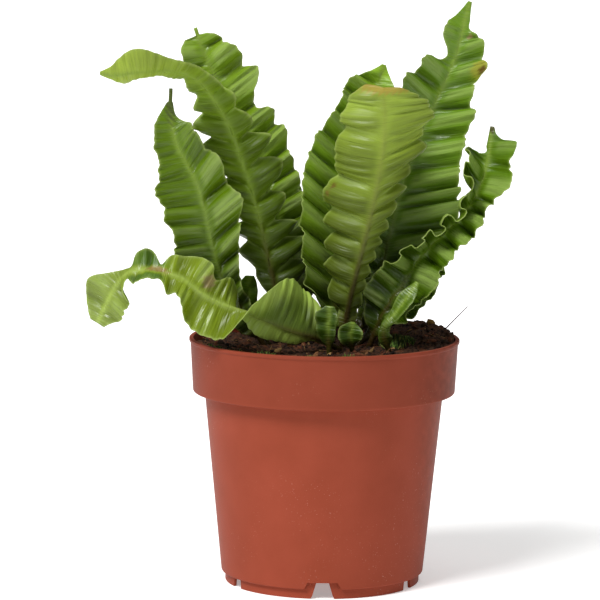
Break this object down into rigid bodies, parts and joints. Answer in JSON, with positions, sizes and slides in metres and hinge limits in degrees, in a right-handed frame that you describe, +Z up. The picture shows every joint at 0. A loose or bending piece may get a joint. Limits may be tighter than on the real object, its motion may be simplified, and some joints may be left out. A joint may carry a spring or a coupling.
{
  "type": "potted crispy wave bird's nest fern",
  "caption": "Bird's nest fern with upright crimped, wavy-edged fronds growing from a crown in a round plastic nursery pot of peat.",
  "frame": {"origin": "on the surface that the pot stands on, under the middle of the plant's whole outline", "axes": "+Z up along the pot's axis and through the fronds' height, -Y towards the front, +X to the right as seen from the front"},
  "size_m": [0.1874, 0.12, 0.2577],
  "materials": {
    "pot": "satin moulded terracotta-coloured polypropylene with faint turning lines",
    "soil": "rough crumbly dark peat with fibres and moss",
    "frond": "glossy mid-green leathery frond, paler rib and margin",
    "pale_frond": "satin yellow-green frond, brown at the foot of its rib"
  },
  "bodies": {
    "root": {"pot": "pot", "soil": "soil", "frond_left_tall": "frond", "frond_left_rear": "frond", "frond_left_broad": "frond", "frond_front_pale": "pale_frond", "frond_middle": "frond", "frond_right_tall": "frond", "frond_right_ruffled": "frond", "frond_front_low": "pale_frond", "frond_small_left": "frond", "frond_small_right": "frond", "frond_small_middle": "frond", "frond_small_front": "frond", "frond_rear_left": "frond", "frond_rear_middle": "frond", "frond_rear_right": "frond", "frond_rear_low": "frond"}
  },
  "joints": []
}
